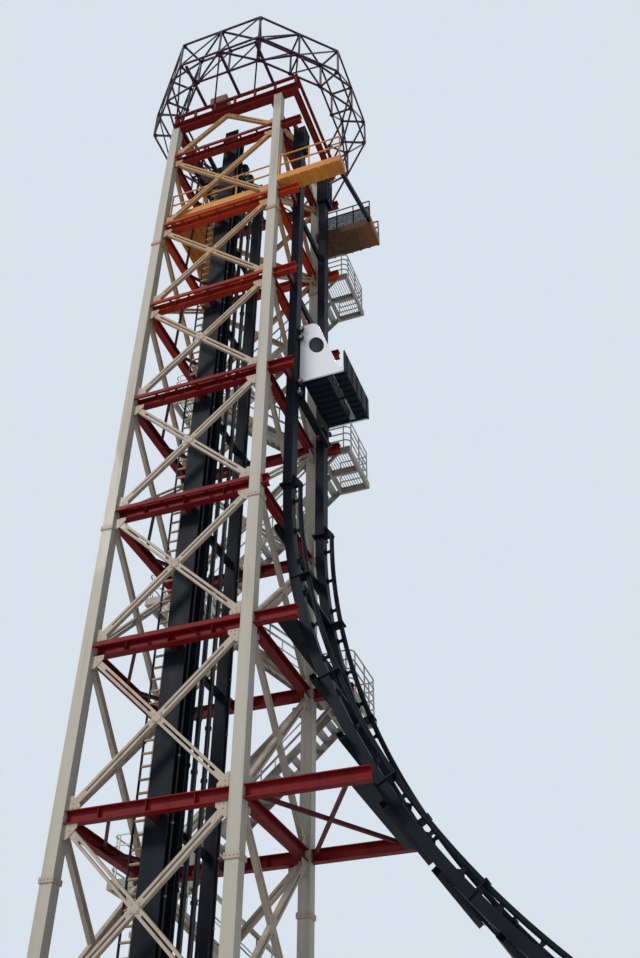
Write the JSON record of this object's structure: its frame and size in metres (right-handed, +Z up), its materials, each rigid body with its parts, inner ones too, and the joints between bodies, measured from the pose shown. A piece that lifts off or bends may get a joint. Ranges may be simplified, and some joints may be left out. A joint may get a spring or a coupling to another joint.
{
  "type": "drop tower ride",
  "caption": "Square steel lattice tower with lift shaft, roof ring truss, outside stair and a car that drops down a vertical track into a curved run-out",
  "frame": {"origin": "middle of the lift shaft's sole plate between the four legs, on the floor", "axes": "X along the run-out, away from the tower; Y across the track, away from the camera; Z up"},
  "size_m": [28.5005, 7.6555, 38.5],
  "materials": {
    "cream_paint": "satin",
    "red_paint": "satin",
    "plum_paint": "satin",
    "brown_paint": "satin",
    "slate_paint": "satin",
    "zinc_grey": "matt",
    "deck_paint": "matt",
    "white_shell": "gloss",
    "seat_black": "matt",
    "wheel_tyre": "matt"
  },
  "bodies": {
    "tower": {"anchor_plates": "zinc_grey", "leg_near_left": "cream_paint", "leg_near_right": "cream_paint", "leg_far_left": "cream_paint", "leg_far_right": "cream_paint", "leg_splices": "cream_paint", "near_beams": "red_paint", "far_beams": "red_paint", "left_beams": "red_paint", "right_beams": "red_paint", "edge_ties": "red_paint", "near_braces": "cream_paint", "far_braces": "cream_paint", "left_braces": "cream_paint", "right_braces": "cream_paint", "brace_gussets": "cream_paint", "plan_braces": "plum_paint", "lift_columns": "slate_paint", "lift_guides": "slate_paint", "lift_ties": "slate_paint", "lift_brackets": "plum_paint", "lift_ladder": "slate_paint", "lift_base_plate": "slate_paint", "roof_beams": "red_paint", "roof_chords": "red_paint", "roof_cabinet": "brown_paint", "hoist_winch": "slate_paint", "track_heads": "slate_paint", "track_columns": "slate_paint", "track_brackets": "plum_paint", "track_cross_girders": "slate_paint", "track_girders": "slate_paint", "track_rails": "slate_paint", "track_frames": "slate_paint", "track_ties": "slate_paint", "track_posts": "slate_paint", "crown_rings_a": "plum_paint", "crown_rings_b": "plum_paint", "crown_posts": "plum_paint", "crown_lacing": "plum_paint", "crown_outriggers": "plum_paint", "tower_decks": "deck_paint", "deck_rails": "deck_paint", "deck_link": "slate_paint", "stair_stringers": "zinc_grey", "stair_treads": "zinc_grey", "stair_landings": "zinc_grey", "stair_rails": "zinc_grey", "stair_handrails": "zinc_grey"},
    "car": {"car_frame": "slate_paint", "car_floor": "slate_paint", "car_side_shells": "white_shell", "car_foot_guard": "slate_paint", "car_seat_backs": "seat_black", "car_seat_pans": "seat_black", "car_restraints": "slate_paint", "car_wheels": "wheel_tyre"}
  },
  "joints": [
    {"name": "car_drop", "type": "slide", "parent": "tower", "child": "car", "axis": [0, 0, 1], "range_m": [-2.8, 8.8]}
  ]
}
